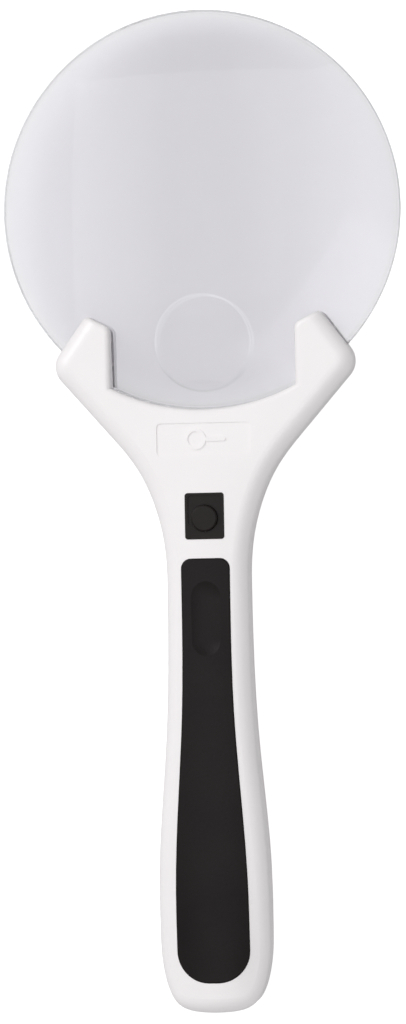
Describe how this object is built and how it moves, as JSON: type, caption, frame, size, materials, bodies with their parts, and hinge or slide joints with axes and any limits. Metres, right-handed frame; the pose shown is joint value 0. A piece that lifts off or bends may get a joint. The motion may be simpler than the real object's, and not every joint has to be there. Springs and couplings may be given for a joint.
{
  "type": "low vision magnifier",
  "caption": "Rimless hand magnifier with a round clear lens and spot lens in a forked white handle, rubber grip, push button and lamps.",
  "frame": {"origin": "on the table under the middle of the magnifier, lying on its back", "axes": "+Z out of the front face, +Y along the handle towards the lens, +X across"},
  "size_m": [0.11, 0.2754, 0.0203],
  "materials": {
    "white_plastic": "satin gloss, smooth",
    "rubber_grip": "matt, fine grain",
    "black_plastic": "satin black",
    "clear_acrylic": "polished clear",
    "clear_plastic": "clear",
    "lamp_epoxy": "clear epoxy over a yellow phosphor",
    "board": "green solder mask",
    "steel": "bright zinc plated",
    "ceramic_black": "matt",
    "switch_metal": "satin",
    "cell_wrap": "printed film without marks",
    "wire_red": "soft insulation",
    "wire_black": "soft insulation"
  },
  "bodies": {
    "casing": {"lens": "clear_acrylic", "front_shell": "white_plastic", "rear_shell": "white_plastic", "grip_inlay": "rubber_grip", "switch_bezel": "black_plastic", "switch_housing": "switch_metal", "switch_spring": "steel", "circuit_board": "board", "shell_screws": "steel", "tail_contact_plate": "steel", "negative_contact": "steel", "positive_contact": "steel", "led_left": "lamp_epoxy", "led_right": "lamp_epoxy", "led_window_left": "clear_plastic", "led_window_right": "clear_plastic", "resistor_left": "ceramic_black", "resistor_right": "ceramic_black", "battery_cell_left": "cell_wrap", "battery_cell_right": "cell_wrap", "contact_spring_left": "steel", "contact_spring_right": "steel", "battery_wire_left": "wire_red", "battery_wire_right": "wire_black", "led_wire_left_outer": "wire_red", "led_wire_left_inner": "wire_black", "led_wire_right_outer": "wire_red", "led_wire_right_inner": "wire_black"},
    "button": {"button_cap": "black_plastic", "switch_plunger": "black_plastic"},
    "door": {"battery_door": "white_plastic"}
  },
  "joints": [
    {"name": "button_press", "type": "slide", "parent": "casing", "child": "button", "axis": [0, 0, -1], "range_m": [0, 0.001], "stiffness_N_per_m": 400, "springref_m": -0.0005, "deforming": ["switch_spring"]},
    {"name": "door_slide", "type": "slide", "parent": "casing", "child": "door", "axis": [0, -1, 0], "range_m": [0, 0.062]}
  ]
}
